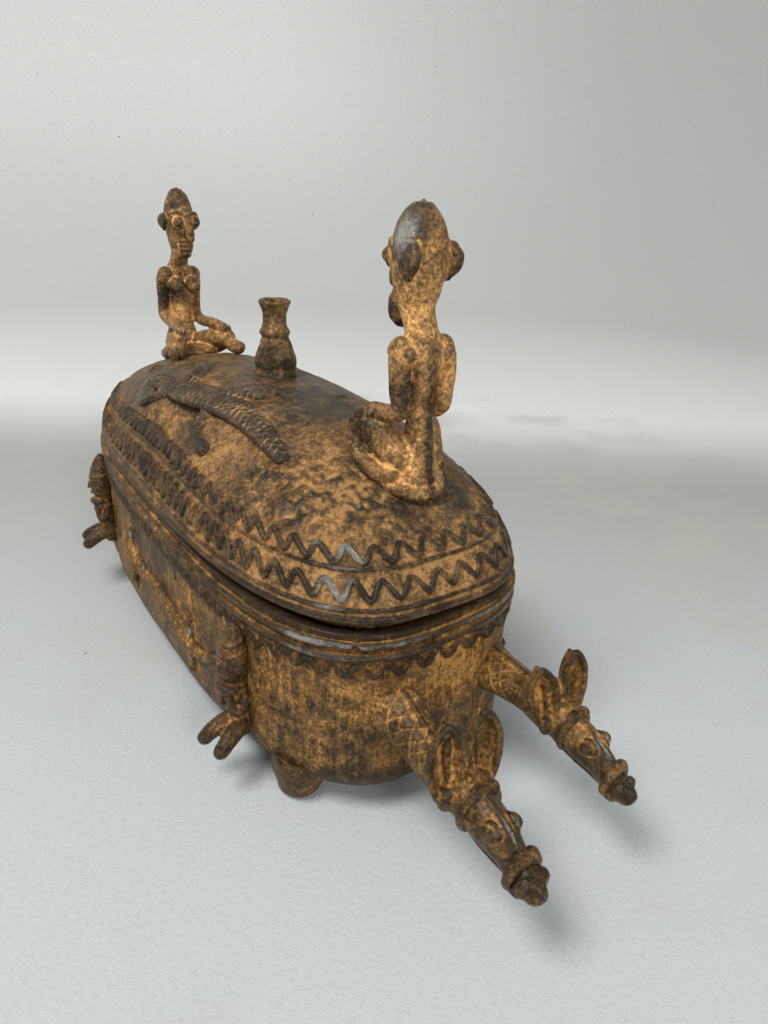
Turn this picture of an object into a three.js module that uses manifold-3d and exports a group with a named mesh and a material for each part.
// Lidded oval box in cast bronze, made by the lost-wax method: two castings, a box and a loose
// domed lid. The founder first put both together in wax, from separately rolled and pressed
// pieces, and each of those pieces is one mesh here. Two horse heads stand out of the front wall,
// four small seated figures sit against the long walls, a crocodile lies on the lid, and two
// larger figures face each other across the knob. Lengths are in millimetres, +Z is up, the box
// is long in Y and the horses look towards -Y.

import * as THREE from "three";
import { mergeVertices } from "three/addons/utils/BufferGeometryUtils.js";
import Module from "manifold-3d";

const wasm = await Module();
wasm.setup();

// Clearance between two pieces that sit on each other
const seatGap = 0.3;

// Oval body of the box
const boxHalfWidth = 50;
const boxHalfLength = 118;
const frontOvalPower = 3.15;
const rearOvalPower = 2.65;
const footHeight = 6.5;
const wallHeight = 61.5;
const wallThickness = 3.5;
const floorThickness = 4;
const bottomRounding = 10;
const outlineSegments = 60;

// The rim sags at the front left corner, where the lid stands clear of it
const rimDip = 3.2;
const dipCentreShare = 0.68;
const dipHalfSpanShare = 0.17;

// Raised beads and zigzag under the rim
const beadWidth = 2.6;
const beadProud = 1.5;
const upperBeadDrop = 3.4;
const lowerBeadDrop = 7.2;
const rimZigzagDrop = 11.8;
const rimZigzagReach = 2.2;
const zigzagWidth = 2;
const zigzagProud = 1.2;
const rimWavePitch = 9;

// Stub feet under the four corners
const footTopRadius = 8.5;
const footSoleRadius = 6;
const footRise = 7;
const footSideShare = 0.69;
const frontFootShare = 0.79;
const rearFootShare = 0.75;
const footSides = 12;

// Domed lid
const lidHeight = 38.3;
const lidThickness = 3;
const shoulderPower = 2.72;
const crownPower = 0.64;
const lipDepth = 4;
const lipThickness = 2;
const lipClearance = 0.8;
const lidRingShares = [0.35, 0.57, 0.74, 0.86, 0.94, 0.985, 1];

// Threads and zigzags laid round the lid. A band's place is its distance in from the edge at the
// middle of the long side, as a share of the half width, and it narrows towards the long ends.
const bandNarrowing = 0.65;
const threadWidth = 1.4;
const threadProud = 0.8;
const lowerEdgeThreadShare = 0.004;
const upperEdgeThreadShare = 0.016;
const dividingThreadShare = 0.115;
const outerZigzagShares = [0.034, 0.082];
const innerZigzagShares = [0.138, 0.185];
const lidWavePitch = 7.4;
const waveCrowdingShare = 0.25;

// Knob in the shape of a small footed mortar
const knobHeight = 27;
const knobSideShare = 0.12;
const knobAlongShare = 0.017;
const knobSegments = 14;
const knobProfileShares = [
  [0.25, -0.2], [0.26, 0.02], [0.285, 0.16], [0.24, 0.33], [0.22, 0.42], [0.19, 0.5], [0.215, 0.57],
  [0.165, 0.66], [0.165, 0.8], [0.215, 0.95], [0.22, 1], [0.17, 1], [0.13, 0.93],
];

// Crocodile in relief on the left of the lid. Each station is its place across the lid, as a share
// of the half width, its place along the lid, as a share of the half length, and its half width,
// as a share of the box's half width.
const crocodileProudShare = 0.066;
const crocodileBodyShares = [
  [-0.583, 0.309, 0.041], [-0.583, 0.239, 0.113], [-0.562, 0.152, 0.103],
  [-0.521, 0.047, 0.144], [-0.459, -0.092, 0.175], [-0.439, -0.214, 0.154],
  [-0.459, -0.337, 0.103], [-0.48, -0.459, 0.066], [-0.501, -0.564, 0.025],
];
const crocodileLegShares = [
  [[-0.562, 0.109, 0.062], [-0.686, 0.17, 0.062], [-0.748, 0.231, 0.054]],
  [[-0.48, 0.109, 0.062], [-0.336, 0.161, 0.062], [-0.274, 0.239, 0.054]],
  [[-0.521, -0.162, 0.062], [-0.686, -0.179, 0.066], [-0.748, -0.293, 0.058]],
  [[-0.398, -0.127, 0.062], [-0.233, -0.153, 0.07], [-0.109, -0.206, 0.054]],
];

// Seated figures on the lid, looking at each other across the knob
const frontFigureHeight = 76.5;
const frontFigureAlongShare = -0.746;
const frontFigureSideShare = 0.11;
const rearFigureHeight = 72.5;
const rearFigureAlongShare = 0.69;
const rearFigureSideShare = -0.03;
const neckCutShare = 0.615;
const figureTiltAngle = 0.27;

// Small figures seated against the long walls
const wallFigureHeight = 45;
const frontWallFigureShare = -0.657;
const rearWallFigureShare = 0.534;
const frontWallFigureDrop = 55.5;
const rearWallFigureDrop = 49.5;

// Lizard in low relief on each long wall, between the small figures. Each station is its place
// along the box, as a share of the half length, its rise up the wall and its half width, both as
// shares of the wall's height.
const lizardProud = 2.3;
const lizardBodyShares = [
  [0.263, 0.478, 0.028], [0.165, 0.494, 0.07], [0.019, 0.447, 0.062],
  [-0.144, 0.432, 0.078], [-0.291, 0.385, 0.07], [-0.421, 0.369, 0.047],
  [-0.551, 0.478, 0.019],
];
const lizardLegShares = [
  [[0.169, 0.502, 0.031], [0.153, 0.634, 0.041]],
  [[0.124, 0.463, 0.034], [0.165, 0.26, 0.041]],
  [[-0.347, 0.393, 0.031], [-0.364, 0.541, 0.041]],
  [[-0.396, 0.369, 0.034], [-0.372, 0.229, 0.041]],
];

// Horse heads on the front wall
const leftHorseLength = 56;
const rightHorseLength = 51;
const leftHorseRise = 31;
const rightHorseRise = 32;
const leftHorseSideShare = -0.3;
const rightHorseSideShare = 0.42;
const leftHorseSplayAngle = -0.02;
const rightHorseSplayAngle = 0.06;
const leftEarLeanShare = 0;
const rightEarLeanShare = 0.2;
const leftHorseRiseShares = [-0.07, -0.07, -0.17];
const rightHorseRiseShares = [0.01, -0.03, -0.17];
const horseLimbSides = 9;
const headCutShare = 0.31;

// Finishes: clay dust left in the casting, bare brown bronze and rubbed high spots
const dusty = { color: 0x93693b, roughness: 0.75, metalness: 0.35 };
const brown = { color: 0x5f4630, roughness: 0.55, metalness: 0.6 };
const rubbed = { color: 0x4b4238, roughness: 0.35, metalness: 0.8 };

// Places worked out from the sizes above
const underside = footHeight;
const rimHeight = footHeight + wallHeight;
const lidEdge = rimHeight + seatGap;
const lipOuterInset = wallThickness + lipClearance;
const lipInnerInset = lipOuterInset + lipThickness;

const box = new THREE.Group();
const lid = new THREE.Group();
const model = new THREE.Group();
model.add(box, lid);

function addPiece(parent, name, geometry, finish) {
  const smooth = geometry.clone();
  smooth.computeVertexNormals();
  const mesh = new THREE.Mesh(smooth, new THREE.MeshStandardMaterial(finish));
  mesh.name = name;
  parent.add(mesh);
  return mesh;
}

// The oval is squarer at the front than at the rear
function ovalPowerAt(along) {
  return along < 0 ? frontOvalPower : rearOvalPower;
}

// Distance of the wall from the middle, at a place along the box
function wallAt(along) {
  const power = ovalPowerAt(along);
  return boxHalfWidth * (1 - Math.abs(along / boxHalfLength) ** power) ** (1 / power);
}

// The oval outline, measured once so that a share of its whole way round gives a place on it
function measureOutline(steps = 1440) {
  const points = [];
  let travelled = 0;
  for (let step = 0; step <= steps; step++) {
    const angle = (2 * Math.PI * step) / steps;
    const power = ovalPowerAt(Math.sin(angle));
    const across = Math.abs(Math.cos(angle) / boxHalfWidth) ** power;
    const along = Math.abs(Math.sin(angle) / boxHalfLength) ** power;
    const radius = (across + along) ** (-1 / power);
    const x = radius * Math.cos(angle);
    const y = radius * Math.sin(angle);
    if (step > 0) {
      const last = points[step - 1];
      travelled += Math.hypot(x - last.x, y - last.y);
    }
    points.push({ x, y, travelled });
  }
  return { points, total: travelled };
}

const outline = measureOutline();

function outlineNormal(x, y) {
  const power = ovalPowerAt(y) - 1;
  const across = (Math.sign(x) * Math.abs(x / boxHalfWidth) ** power) / boxHalfWidth;
  const along = (Math.sign(y) * Math.abs(y / boxHalfLength) ** power) / boxHalfLength;
  return new THREE.Vector3(across, along, 0).normalize();
}

function outlineAt(share) {
  const travelled = (share - Math.floor(share)) * outline.total;
  let low = 0;
  let high = outline.points.length - 1;
  while (high - low > 1) {
    const middle = (low + high) >> 1;
    if (outline.points[middle].travelled > travelled) {
      high = middle;
    } else {
      low = middle;
    }
  }
  const from = outline.points[low];
  const to = outline.points[high];
  const part = (travelled - from.travelled) / (to.travelled - from.travelled);
  const x = from.x + (to.x - from.x) * part;
  const y = from.y + (to.y - from.y) * part;
  return { x, y, normal: outlineNormal(x, y) };
}

function rimSag(share) {
  const away = Math.abs(share - dipCentreShare) / dipHalfSpanShare;
  return away < 1 ? rimDip * Math.cos((away * Math.PI) / 2) ** 2 : 0;
}

// A level ring round the outline, moved in by an inset; its height may vary round the outline
function wallRing(inset, heightAt) {
  const ring = [];
  for (let step = 0; step < outlineSegments; step++) {
    const share = step / outlineSegments;
    const place = outlineAt(share);
    const height = typeof heightAt === "function" ? heightAt(share) : heightAt;
    ring.push(new THREE.Vector3(place.x, place.y, height).addScaledVector(place.normal, -inset));
  }
  return ring;
}

// A closed surface through a list of rings. A ring of one point is a pole; a loop joins the last
// ring to the first.
function solidFromRings(rings, loop = false) {
  const positions = [];
  const starts = [];
  for (const ring of rings) {
    starts.push(positions.length / 3);
    for (const point of ring) {
      positions.push(point.x, point.y, point.z);
    }
  }
  const index = [];
  const count = Math.max(...rings.map((ring) => ring.length));
  const joints = loop ? rings.length : rings.length - 1;
  for (let joint = 0; joint < joints; joint++) {
    const next = (joint + 1) % rings.length;
    const fromPole = rings[joint].length === 1;
    const toPole = rings[next].length === 1;
    for (let step = 0; step < count; step++) {
      const after = (step + 1) % count;
      const a = starts[joint] + (fromPole ? 0 : step);
      const b = starts[joint] + (fromPole ? 0 : after);
      const c = starts[next] + (toPole ? 0 : after);
      const d = starts[next] + (toPole ? 0 : step);
      if (!fromPole) {
        index.push(a, b, c);
      }
      if (!toPole) {
        index.push(a, c, d);
      }
    }
  }
  return outward(positions, index);
}

// Indexed geometry whose faces are turned so that they point out of the solid
function outward(positions, index) {
  const geometry = new THREE.BufferGeometry();
  geometry.setAttribute("position", new THREE.Float32BufferAttribute(positions, 3));
  const a = new THREE.Vector3();
  const b = new THREE.Vector3();
  const c = new THREE.Vector3();
  let volume = 0;
  for (let corner = 0; corner < index.length; corner += 3) {
    a.fromArray(positions, index[corner] * 3);
    b.fromArray(positions, index[corner + 1] * 3);
    c.fromArray(positions, index[corner + 2] * 3);
    volume += a.dot(b.cross(c));
  }
  geometry.setIndex(volume < 0 ? index.toReversed() : index);
  return geometry;
}

function toManifold(geometry) {
  const bare = geometry.clone();
  bare.deleteAttribute("normal");
  bare.deleteAttribute("uv");
  const merged = mergeVertices(bare, seatGap / 1000);
  return new wasm.Manifold(new wasm.Mesh({
    numProp: 3,
    vertProperties: Float32Array.from(merged.attributes.position.array),
    triVerts: Uint32Array.from(merged.index.array),
  }));
}

function fromManifold(solid) {
  const mesh = solid.getMesh();
  const positions = [];
  for (let corner = 0; corner < mesh.vertProperties.length; corner += mesh.numProp) {
    positions.push(...mesh.vertProperties.subarray(corner, corner + 3));
  }
  return outward(positions, [...mesh.triVerts]);
}

function cut(geometry, ...cutters) {
  const whole = toManifold(geometry);
  return fromManifold(cutters.map(toManifold).reduce((solid, cutter) => solid.subtract(cutter), whole));
}

function join(...geometries) {
  return fromManifold(geometries.map(toManifold).reduce((solid, other) => solid.add(other)));
}

function keep(geometry, region) {
  return fromManifold(toManifold(geometry).intersect(toManifold(region)));
}

// A rolled wax limb: elliptical sections along a path, with domed ends. Each station is
// [x, y, z, half width along side, half width across it], and grow widens it all round.
function limb(stations, { side = new THREE.Vector3(1, 0, 0), sides = 8, grow = 0, endShare = 0.6 } = {}) {
  const centres = stations.map(([x, y, z]) => new THREE.Vector3(x, y, z));
  const rings = [];
  const ends = [];
  stations.forEach((station, index) => {
    const before = centres[Math.max(index - 1, 0)];
    const after = centres[Math.min(index + 1, centres.length - 1)];
    const along = after.clone().sub(before).normalize();
    const u = side.clone().addScaledVector(along, -side.dot(along)).normalize();
    const v = new THREE.Vector3().crossVectors(along, u);
    const [, , , wide, deep = wide] = station;
    const ring = [];
    for (let step = 0; step < sides; step++) {
      const angle = (2 * Math.PI * (step + 0.5)) / sides;
      ring.push(centres[index].clone()
        .addScaledVector(u, Math.cos(angle) * (wide + grow))
        .addScaledVector(v, Math.sin(angle) * (deep + grow)));
    }
    rings.push(ring);
    if (index === 0) {
      ends.push([centres[index].clone().addScaledVector(along, -Math.min(wide, deep) * endShare - grow)]);
    }
    if (index === stations.length - 1) {
      ends.push([centres[index].clone().addScaledVector(along, Math.min(wide, deep) * endShare + grow)]);
    }
  });
  return solidFromRings([ends[0], ...rings, ends[1]]);
}

function ball(x, y, z, radii, grow = 0, segments = 8) {
  const geometry = new THREE.SphereGeometry(1, segments, Math.round(segments * 0.6));
  geometry.scale(...radii.map((radius) => radius + grow));
  geometry.translate(x, y, z);
  return geometry;
}

function scaled(shares, size) {
  return shares.map((station) => station.map((share) => share * size));
}

function mirrored(shares) {
  return shares.map(([x, ...rest]) => [-x, ...rest]);
}

// Height of the dome over its edge, from the centre (0) to the edge (1) of the scaled outline
function domeRise(reach) {
  return lidHeight * Math.max(0, 1 - reach ** shoulderPower) ** crownPower;
}

function domeReach(x, y) {
  const power = ovalPowerAt(y);
  const across = Math.abs(x / boxHalfWidth) ** power;
  const along = Math.abs(y / boxHalfLength) ** power;
  return (across + along) ** (1 / power);
}

function domeHeight(x, y) {
  return lidEdge + domeRise(domeReach(x, y));
}

function domeNormal(share, reach) {
  const place = outlineAt(share);
  const step = 1e-4;
  const slope = (domeRise(reach - step) - domeRise(Math.min(reach + step, 1))) / (2 * step);
  const outwardReach = place.x * place.normal.x + place.y * place.normal.y;
  return new THREE.Vector3(place.normal.x * slope, place.normal.y * slope, outwardReach).normalize();
}

function domePlace(share, reach) {
  const place = outlineAt(share);
  return new THREE.Vector3(place.x * reach, place.y * reach, lidEdge + domeRise(reach));
}

function domeRing(reach, inset, height) {
  return wallRing(inset, 0).map((point) => {
    const rise = (height * domeRise(reach)) / lidHeight;
    return new THREE.Vector3(point.x * reach, point.y * reach, lidEdge + rise);
  });
}

// Solid dome, a little larger than the lid all round, that cuts the seats of what lies on it
function domeCutter() {
  const rings = lidRingShares.map((reach) => domeRing(reach, -seatGap, lidHeight + seatGap));
  const top = [new THREE.Vector3(0, 0, lidEdge + lidHeight + seatGap)];
  const below = wallRing(-seatGap, lidEdge - lidHeight);
  return solidFromRings([top, ...rings, below, [new THREE.Vector3(0, 0, lidEdge - lidHeight)]]);
}

// Solid body, a little larger than the box all round, that cuts the seats of what sits on it
function boxCutter() {
  return solidFromRings([
    [new THREE.Vector3(0, 0, underside - seatGap)],
    ...bottomRings(-seatGap),
    wallRing(-seatGap, rimHeight),
    [new THREE.Vector3(0, 0, rimHeight)],
  ]);
}

// Band round the rim, a little larger than the beads and zigzag there
function collarCutter() {
  const out = 2 * seatGap + Math.max(beadProud, zigzagProud);
  const low = rimHeight - rimDip - rimZigzagDrop - rimZigzagReach - zigzagWidth;
  return solidFromRings([
    [new THREE.Vector3(0, 0, low)],
    wallRing(-out, low),
    wallRing(-out, lidEdge),
    [new THREE.Vector3(0, 0, lidEdge)],
  ]);
}

function bottomRings(inset) {
  const turns = 3;
  const rings = [];
  for (let turn = 0; turn <= turns; turn++) {
    const angle = (turn / turns) * (Math.PI / 2);
    const inward = bottomRounding * (1 - Math.sin(angle));
    const up = bottomRounding * (1 - Math.cos(angle));
    rings.push(wallRing(inset + inward, underside + inset + up));
  }
  return rings;
}

// A closed wire round the box or lid, on a surface given by its place and normal at each share
function closedWire(count, surfaceAt, width, proud) {
  const places = [];
  for (let step = 0; step < count; step++) {
    places.push(surfaceAt(step / count, step));
  }
  const rings = places.map(({ point, normal }, step) => {
    const before = places[(step + count - 1) % count].point;
    const after = places[(step + 1) % count].point;
    const along = after.clone().sub(before).normalize();
    const across = new THREE.Vector3().crossVectors(normal, along).normalize();
    const foot = point.clone().addScaledVector(normal, seatGap);
    return [
      foot.clone().addScaledVector(across, -width / 2),
      foot.clone().addScaledVector(across, width / 2),
      foot.clone().addScaledVector(normal, proud),
    ];
  });
  return solidFromRings(rings, true);
}

// Waves crowd together along the long sides and open out round the ends
function waveShare(share) {
  return share - (waveCrowdingShare * Math.sin(4 * Math.PI * share)) / (4 * Math.PI);
}

function wallWire(drop, width, proud) {
  return closedWire(outlineSegments, (share) => {
    const place = outlineAt(share);
    const point = new THREE.Vector3(place.x, place.y, rimHeight - drop - rimSag(share));
    return { point, normal: place.normal };
  }, width, proud);
}

function wallZigzag(drop, reach, pitch) {
  const count = 2 * Math.round(outline.total / pitch);
  return closedWire(count, (share, step) => {
    const place = outlineAt(waveShare(share));
    const side = step % 2 === 0 ? reach : -reach;
    const height = rimHeight - drop + side - rimSag(waveShare(share));
    return { point: new THREE.Vector3(place.x, place.y, height), normal: place.normal };
  }, zigzagWidth, zigzagProud);
}

function bandReach(share, inShare) {
  const place = outlineAt(share);
  const radius = Math.hypot(place.x, place.y);
  return 1 - inShare * (boxHalfWidth / radius) ** bandNarrowing;
}

function lidWire(inShare) {
  return closedWire(outlineSegments, (share) => {
    const reach = bandReach(share, inShare);
    return { point: domePlace(share, reach), normal: domeNormal(share, reach) };
  }, threadWidth, threadProud);
}

function lidZigzag(inShares) {
  const count = 2 * Math.round(outline.total / lidWavePitch);
  return closedWire(count, (share, step) => {
    const crowded = waveShare(share);
    const reach = bandReach(crowded, inShares[step % 2]);
    return { point: domePlace(crowded, reach), normal: domeNormal(crowded, reach) };
  }, zigzagWidth, zigzagProud);
}

// Box body: a round-bottomed oval tray with an even wall and a sagging rim
function addBoxShell() {
  const rim = (share) => rimHeight - rimSag(share);
  const floorTop = underside + floorThickness;
  const hollow = bottomRounding - wallThickness;
  addPiece(box, "box_shell", solidFromRings([
    [new THREE.Vector3(0, 0, underside)],
    ...bottomRings(0),
    wallRing(0, rim),
    wallRing(wallThickness, rim),
    wallRing(wallThickness, floorTop + hollow),
    wallRing(wallThickness + hollow / 3, floorTop + hollow / 3),
    wallRing(wallThickness + hollow, floorTop),
    [new THREE.Vector3(0, 0, floorTop)],
  ]), brown);
}

function addRimTrim() {
  addPiece(box, "rim_bead_upper", wallWire(upperBeadDrop, beadWidth, beadProud), rubbed);
  addPiece(box, "rim_bead_lower", wallWire(lowerBeadDrop, beadWidth, beadProud), rubbed);
  addPiece(box, "rim_zigzag", wallZigzag(rimZigzagDrop, rimZigzagReach, rimWavePitch), brown);
}

function addFeet() {
  const cutter = boxCutter();
  const ends = { front: -frontFootShare, rear: rearFootShare };
  const sides = { left: -1, right: 1 };
  for (const [end, endShare] of Object.entries(ends)) {
    for (const [side, sideSign] of Object.entries(sides)) {
      const tall = footHeight + footRise;
      const foot = new THREE.CylinderGeometry(footTopRadius, footSoleRadius, tall, footSides);
      foot.rotateX(Math.PI / 2);
      const x = sideSign * footSideShare * boxHalfWidth;
      const y = endShare * boxHalfLength;
      foot.translate(x, y, tall / 2);
      addPiece(box, `foot_${end}_${side}`, cut(foot, cutter), brown);
    }
  }
}

// Lid: a dome of even thickness with a locating lip that drops inside the wall of the box
function addLidShell() {
  const inside = lidHeight - lidThickness;
  const innerShares = [1, 0.94, 0.78, 0.5];
  addPiece(lid, "lid_shell", solidFromRings([
    [new THREE.Vector3(0, 0, lidEdge + lidHeight)],
    ...lidRingShares.map((reach) => domeRing(reach, 0, lidHeight)),
    wallRing(lipOuterInset, lidEdge),
    wallRing(lipOuterInset, lidEdge - lipDepth),
    wallRing(lipInnerInset, lidEdge - lipDepth),
    ...innerShares.map((reach) => domeRing(reach, lipInnerInset, inside)),
    [new THREE.Vector3(0, 0, lidEdge + inside)],
  ]), dusty);
}

function addLidTrim() {
  addPiece(lid, "lid_edge_thread_lower", lidWire(lowerEdgeThreadShare), rubbed);
  addPiece(lid, "lid_edge_thread_upper", lidWire(upperEdgeThreadShare), rubbed);
  addPiece(lid, "lid_dividing_thread", lidWire(dividingThreadShare), brown);
  addPiece(lid, "lid_zigzag_outer", lidZigzag(outerZigzagShares), brown);
  addPiece(lid, "lid_zigzag_inner", lidZigzag(innerZigzagShares), rubbed);
}

function addKnob(cutter) {
  const profile = knobProfileShares.map(([radius, rise]) => {
    return new THREE.Vector2(radius * knobHeight, rise * knobHeight);
  });
  const first = new THREE.Vector2(0, profile[0].y);
  const last = new THREE.Vector2(0, profile.at(-1).y);
  const knob = new THREE.LatheGeometry([first, ...profile, last], knobSegments);
  knob.rotateX(Math.PI / 2);
  const x = knobSideShare * boxHalfWidth;
  const y = knobAlongShare * boxHalfLength;
  knob.translate(x, y, domeHeight(x, y));
  addPiece(lid, "lid_knob", cut(knob, cutter), brown);
}

// Relief on the lid: flat limbs whose centre line lies on the dome, so that only the upper half
// of each stands proud of it
function addCrocodile(cutter) {
  const onLid = (stations) => limb(stations.map(([acrossShare, alongShare, halfShare]) => {
    const x = acrossShare * boxHalfWidth;
    const y = alongShare * boxHalfLength;
    const half = halfShare * boxHalfWidth;
    const thick = Math.min(half, crocodileProudShare * boxHalfWidth);
    return [x, y, domeHeight(x, y), half, thick + seatGap];
  }), { side: new THREE.Vector3(1, 0.35, 0) });
  const legs = crocodileLegShares.map(onLid);
  addPiece(lid, "crocodile", cut(join(onLid(crocodileBodyShares), ...legs), cutter), rubbed);
}

// Seated figure, looking along +Y of its own group: body and head from one roll, splayed legs with
// round feet on the lid, arms bent down to the knees and a pad under it all. Shares are of the
// figure's height, but places in front of the body on a limb count from 0 there to 1 at the knee,
// and rises there are over the lid under them.
const trunkShares = [
  [0, -0.03, 0.05, 0.095, 0.085], [0, -0.03, 0.13, 0.08, 0.075], [0, -0.03, 0.28, 0.068, 0.062],
  [0, -0.03, 0.43, 0.09, 0.06], [0, -0.02, 0.52, 0.1, 0.055], [0, -0.01, 0.56, 0.065, 0.055],
  [0, 0.01, 0.61, 0.06, 0.06], [0, 0.035, 0.65, 0.062, 0.08], [0, 0.035, 0.7, 0.08, 0.095],
  [0, 0.035, 0.79, 0.095, 0.11], [0, 0.03, 0.87, 0.095, 0.105], [0, 0.025, 0.94, 0.072, 0.08],
  [0, 0.02, 0.98, 0.035, 0.04],
];
const armShares = [
  [0.098, -0.02, 0.51, 0.047], [0.108, -0.035, 0.4, 0.041], [0.096, -0.035, 0.29, 0.038],
  [0.112, 0.6, 0.205, 0.034], [0.142, 1.08, 0.135, 0.034],
];
const legShares = [
  [0.06, 0, 0.09, 0.06], [0.11, 0.5, 0.095, 0.06], [0.15, 1, 0.1, 0.05],
  [0.165, 1.15, 0.06, 0.038], [0.195, 1.35, 0.036, 0.042],
];
const padShares = { along: 0.1, rise: 0.035, radii: [0.16, 0.25, 0.08] };
const frontEarShares = { centre: [0.076, -0.03, 0.81], radii: [0.03, 0.062, 0.066] };
const rearEarShares = { centre: [0.092, 0.02, 0.81], radii: [0.03, 0.055, 0.06] };
const eyeShares = { centre: [0.05, 0.125, 0.82], radii: [0.036, 0.036, 0.036] };
const noseShares = [[0, 0.135, 0.83, 0.02], [0, 0.165, 0.74, 0.025]];
const beardShares = { centre: [0, 0.115, 0.66], radii: [0.045, 0.05, 0.05] };
const breastShares = { centre: [0.05, 0.05, 0.46], radii: [0.035, 0.045, 0.04] };

function shareBall({ centre, radii }, size, sign = 1, grow = 0) {
  const [x, y, z] = centre.map((share) => share * size);
  return ball(sign * x, y, z, radii.map((share) => share * size), grow);
}

// A cutter made in the lid's frame, brought into the frame of a placed group
function inFrameOf(group, geometry) {
  group.updateMatrix();
  return geometry.clone().applyMatrix4(group.matrix.clone().invert());
}

function addFigure(name, { height, sideways, along, turn, kneeShare, earShares, woman }, lidCutter) {
  const group = new THREE.Group();
  group.position.set(sideways, along, domeHeight(sideways, along));
  group.rotation.z = turn;
  lid.add(group);
  const dome = inFrameOf(group, lidCutter);

  const pad = (grow) => {
    const seat = ball(0, 0, 0, padShares.radii.map((share) => share * height), grow, 12);
    seat.rotateX(figureTiltAngle);
    seat.translate(0, padShares.along * height, padShares.rise * height);
    return seat;
  };
  const trunk = scaled(trunkShares, height);
  const whole = limb(trunk);
  const wholeGrown = limb(trunk, { grow: seatGap });
  const below = new THREE.BoxGeometry(height, height, neckCutShare * height);
  below.translate(0, 0, (neckCutShare * height) / 2);
  const belowGrown = new THREE.BoxGeometry(height, height, height);
  belowGrown.translate(0, 0, neckCutShare * height + seatGap - height / 2);

  const ears = [1, -1].map((sign) => shareBall(earShares, height, sign));
  const eyes = [1, -1].map((sign) => shareBall(eyeShares, height, sign));
  const nose = limb(scaled(noseShares, height), { sides: 6 });
  const beard = shareBall(beardShares, height);
  const head = cut(join(whole, ...ears, ...eyes, nose, beard), belowGrown);
  const breasts = [1, -1].map((sign) => shareBall(breastShares, height, sign));
  const torso = keep(woman ? join(whole, ...breasts) : whole, below);

  const knee = kneeShare * height;
  const stationsOf = (shares, sign) => shares.map(([out, forward, up, radius]) => {
    if (forward < 0) {
      return [sign * out * height, forward * height, up * height, radius * height];
    }
    const place = new THREE.Vector3(sign * out * height, forward * knee, 0);
    const onLid = group.localToWorld(place.clone());
    const rise = domeHeight(onLid.x, onLid.y) - group.position.z + up * height;
    return [place.x, place.y, rise, radius * height];
  });
  const leg = (sign, grow) => limb(stationsOf(legShares, sign), { sides: 7, grow });
  const arm = (sign) => limb(stationsOf(armShares, sign), { sides: 6 });
  addPiece(group, `${name}_pad`, cut(pad(0), dome), rubbed);
  addPiece(group, `${name}_torso`, cut(torso, pad(seatGap), dome), dusty);
  addPiece(group, `${name}_head`, head, dusty);
  for (const [side, sign] of Object.entries({ left: -1, right: 1 })) {
    const seats = [pad(seatGap), wholeGrown, dome];
    addPiece(group, `${name}_leg_${side}`, cut(leg(sign, 0), ...seats), brown);
    addPiece(group, `${name}_arm_${side}`, cut(arm(sign), wholeGrown, leg(sign, seatGap)), brown);
  }
}

// Small figure with a pointed cap, seated with its back to the wall and its legs stuck out.
// It looks along +Y of its own group, and shares are of its height.
const smallTrunkShares = [
  [0, 0.02, 0.12, 0.085, 0.09], [0, 0.05, 0.22, 0.08, 0.08], [0, 0.05, 0.34, 0.06, 0.065],
  [0, 0.06, 0.47, 0.07, 0.07], [0, 0.07, 0.54, 0.055, 0.07], [0, 0.08, 0.62, 0.08, 0.09],
  [0, 0.08, 0.76, 0.08, 0.09], [0, 0.07, 0.88, 0.055, 0.06], [0, 0.06, 0.97, 0.02, 0.025],
];
const smallLegShares = [[0.04, 0.02, 0.19, 0.055], [0.08, 0.16, 0.15, 0.055], [0.11, 0.27, 0.1, 0.05]];
const smallArmShares = [[0.06, 0.05, 0.44, 0.035], [0.085, 0.11, 0.33, 0.035], [0.03, 0.15, 0.45, 0.035]];
const smallChinShares = { centre: [0, 0.13, 0.5], radii: [0.075, 0.07, 0.035] };

function addWallFigure(name, side, along, drop, cutters) {
  const across = side * wallAt(along);
  const normal = outlineNormal(across, along);
  const group = new THREE.Group();
  group.position.set(across, along, rimHeight - drop);
  group.rotation.z = Math.atan2(normal.y, normal.x) - Math.PI / 2;
  box.add(group);
  const pieces = [limb(scaled(smallTrunkShares, wallFigureHeight), { sides: 7 })];
  for (const stations of [smallLegShares, smallArmShares]) {
    pieces.push(limb(scaled(stations, wallFigureHeight), { sides: 5 }));
    pieces.push(limb(scaled(mirrored(stations), wallFigureHeight), { sides: 5 }));
  }
  pieces.push(shareBall(smallChinShares, wallFigureHeight));
  const seats = cutters.map((cutter) => inFrameOf(group, cutter));
  addPiece(group, name, cut(join(...pieces), ...seats), brown);
}

// Lizard in low relief, laid on the long wall like the crocodile on the lid
function addLizard(name, side, boxCut) {
  const onWall = (stations) => limb(stations.map(([alongShare, riseShare, halfShare]) => {
    const y = alongShare * boxHalfLength;
    const x = side * wallAt(y);
    const z = underside + riseShare * wallHeight;
    return [x, y, z, lizardProud + seatGap, halfShare * wallHeight];
  }));
  const legs = lizardLegShares.map(onWall);
  addPiece(box, name, cut(join(onWall(lizardBodyShares), ...legs), boxCut), brown);
}

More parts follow.
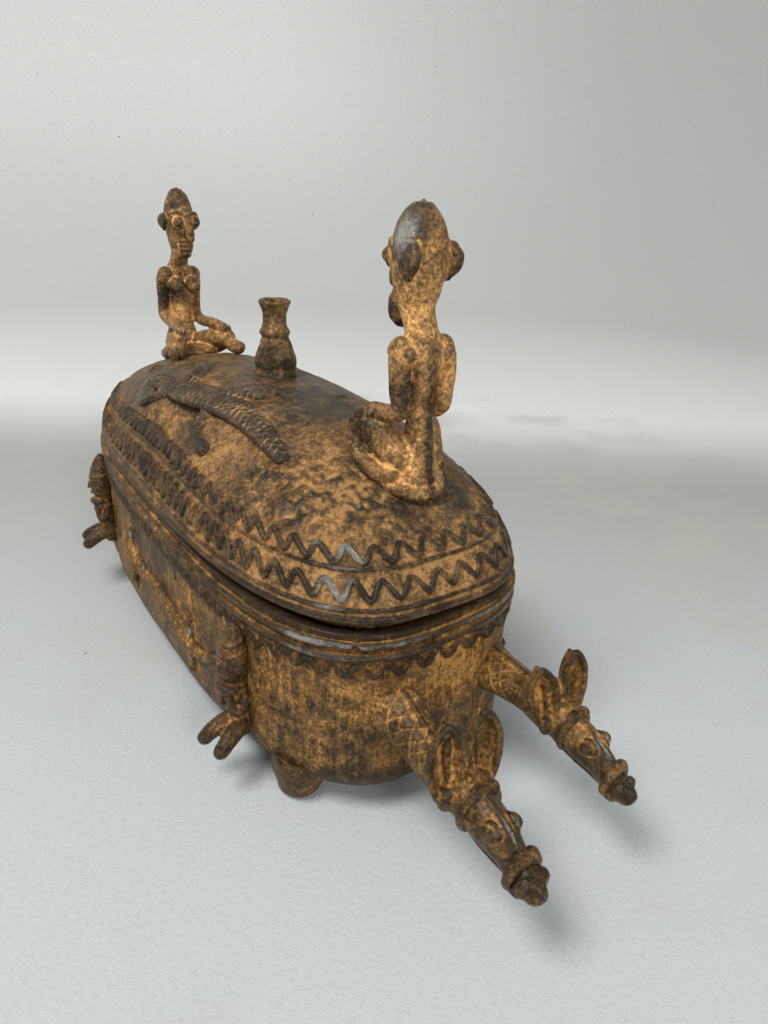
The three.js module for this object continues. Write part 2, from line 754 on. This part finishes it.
// Horse head and neck, looking along +Y of its own group. Shares are of its length from the wall;
// rises are those of the poll, the brow and the nose over the root of the neck.
const earLeafShares = [
  [0.1, 0.52, 0.05, 0.04, 0.03], [0.12, 0.52, 0.13, 0.08, 0.035], [0.125, 0.51, 0.23, 0.095, 0.035],
  [0.12, 0.49, 0.31, 0.075, 0.035], [0.115, 0.48, 0.35, 0.04, 0.03],
];
const forelockShares = [[0.01, 0.46, 0, 0.06], [0.01, 0.45, 0.13, 0.06], [0.01, 0.44, 0.2, 0.05]];
const horseEyeShares = { along: 0.79, out: 0.066, up: 0.05, radii: [0.04, 0.05, 0.045] };
const browbandShares = { along: 0.63, radius: 0.118, wire: 0.024 };
const nosebandShares = { along: 0.92, radius: 0.088, wire: 0.024 };
const bossShares = { sideways: -0.6, up: 0.8, radius: 0.038 };

function addHorse({ name, reach, sideShare, rise, splay, earLeanShare, riseShares }, boxCut) {
  const [poll, brow, nose] = riseShares;
  const power = frontOvalPower;
  const root = -boxHalfLength * (1 - Math.abs(sideShare) ** power) ** (1 / power);
  const group = new THREE.Group();
  group.position.set(sideShare * boxHalfWidth, root, underside + rise);
  group.rotation.z = Math.PI + splay;
  box.add(group);
  const faceShare = (share) => brow + (nose - brow) * share;
  const formShares = [
    [0, -0.14, 0, 0.16, 0.17], [0, 0.07, poll * 0.3, 0.128, 0.135], [0, 0.31, poll, 0.108, 0.115],
    [0, 0.45, (poll + brow) / 2, 0.112, 0.118], [0, 0.63, brow, 0.106, 0.112],
    [0, 0.76, faceShare(0.3), 0.098, 0.1], [0, 0.86, faceShare(0.65), 0.078, 0.08],
    [0, 0.92, faceShare(0.85), 0.072, 0.075], [0, 0.97, nose, 0.092, 0.086],
    [0, 1.02, nose - 0.01, 0.07, 0.07],
  ];
  const maneShares = [
    [0, -0.1, 0.13, 0.03], [0, 0.1, poll * 0.3 + 0.13, 0.03], [0, 0.28, poll + 0.11, 0.026],
  ];
  const form = (grow) => limb(scaled(formShares, reach), { sides: horseLimbSides, grow });
  const span = 2 * reach;
  const behind = new THREE.BoxGeometry(span, span, span);
  behind.translate(0, headCutShare * reach - span / 2, 0);
  const behindGrown = behind.clone().translate(0, seatGap, 0);
  const mane = limb(scaled(maneShares, reach), { sides: 5 });
  const wall = inFrameOf(group, boxCut);
  addPiece(group, `horse_${name}_neck`, cut(keep(join(form(0), mane), behind), wall), dusty);

  const eyes = [1, -1].map((sign) => shareBall({
    centre: [horseEyeShares.out, horseEyeShares.along, brow + horseEyeShares.up],
    radii: horseEyeShares.radii,
  }, reach, sign));
  addPiece(group, `horse_${name}_head`, cut(join(form(0), ...eyes), behindGrown), brown);

  const atBrow = (stations) => stations.map(([x, y, z, ...halves]) => [x, y, z + brow, ...halves]);
  const leaningShares = earLeafShares.map(([x, y, z, ...rest]) => [x + earLeanShare * z, y, z, ...rest]);
  const ear = (sign, grow) => {
    const stations = atBrow(sign > 0 ? leaningShares : mirrored(leaningShares));
    return limb(scaled(stations, reach), { grow });
  };
  const forelock = (grow) => limb(scaled(atBrow(forelockShares), reach), { sides: 6, grow });
  addPiece(group, `horse_${name}_forelock`, cut(forelock(0), form(seatGap)), rubbed);
  for (const [side, sign] of Object.entries({ left: 1, right: -1 })) {
    const seats = [form(seatGap), forelock(seatGap)];
    addPiece(group, `horse_${name}_ear_${side}`, cut(ear(sign, 0), ...seats), brown);
  }

  // A wire round the head with a small boss on its upper right
  const band = ({ along, radius, wire }, height) => {
    const ring = new THREE.TorusGeometry(radius * reach, wire * reach, 5, 12);
    ring.rotateX(Math.PI / 2);
    ring.translate(0, along * reach, height * reach);
    const boss = shareBall({
      centre: [radius * bossShares.sideways, along, height + radius * bossShares.up],
      radii: [bossShares.radius, bossShares.radius, bossShares.radius],
    }, reach);
    return cut(join(ring, boss), form(seatGap), ...eyes);
  };
  addPiece(group, `horse_${name}_browband`, band(browbandShares, brow), brown);
  addPiece(group, `horse_${name}_noseband`, band(nosebandShares, faceShare(0.85)), rubbed);
}

addBoxShell();
addRimTrim();
addFeet();
addLidShell();
addLidTrim();

const lidCutter = domeCutter();
addKnob(lidCutter);
addCrocodile(lidCutter);
addFigure("front_figure", {
  height: frontFigureHeight,
  sideways: frontFigureSideShare * boxHalfWidth,
  along: frontFigureAlongShare * boxHalfLength,
  turn: 0,
  kneeShare: 0.17,
  earShares: frontEarShares,
  woman: false,
}, lidCutter);
addFigure("rear_figure", {
  height: rearFigureHeight,
  sideways: rearFigureSideShare * boxHalfWidth,
  along: rearFigureAlongShare * boxHalfLength,
  turn: Math.PI,
  kneeShare: 0.3,
  earShares: rearEarShares,
  woman: true,
}, lidCutter);

const wallCutter = boxCutter();
for (const [side, sign] of Object.entries({ left: -1, right: 1 })) {
  const cutters = [wallCutter, collarCutter()];
  const front = frontWallFigureShare * boxHalfLength;
  const rear = rearWallFigureShare * boxHalfLength;
  addWallFigure(`wall_figure_front_${side}`, sign, front, frontWallFigureDrop, cutters);
  addWallFigure(`wall_figure_rear_${side}`, sign, rear, rearWallFigureDrop, cutters);
  addLizard(`wall_lizard_${side}`, sign, wallCutter);
}
addHorse({
  name: "left",
  reach: leftHorseLength,
  sideShare: leftHorseSideShare,
  rise: leftHorseRise,
  splay: leftHorseSplayAngle,
  earLeanShare: leftEarLeanShare,
  riseShares: leftHorseRiseShares,
}, wallCutter);
addHorse({
  name: "right",
  reach: rightHorseLength,
  sideShare: rightHorseSideShare,
  rise: rightHorseRise,
  splay: rightHorseSplayAngle,
  earLeanShare: rightEarLeanShare,
  riseShares: rightHorseRiseShares,
}, wallCutter);

// The origin is under the middle of everything, on the surface that the feet stand on
const extent = new THREE.Box3().setFromObject(model);
const middle = extent.getCenter(new THREE.Vector3());
model.position.set(-middle.x, -middle.y, -extent.min.z);

export default model;
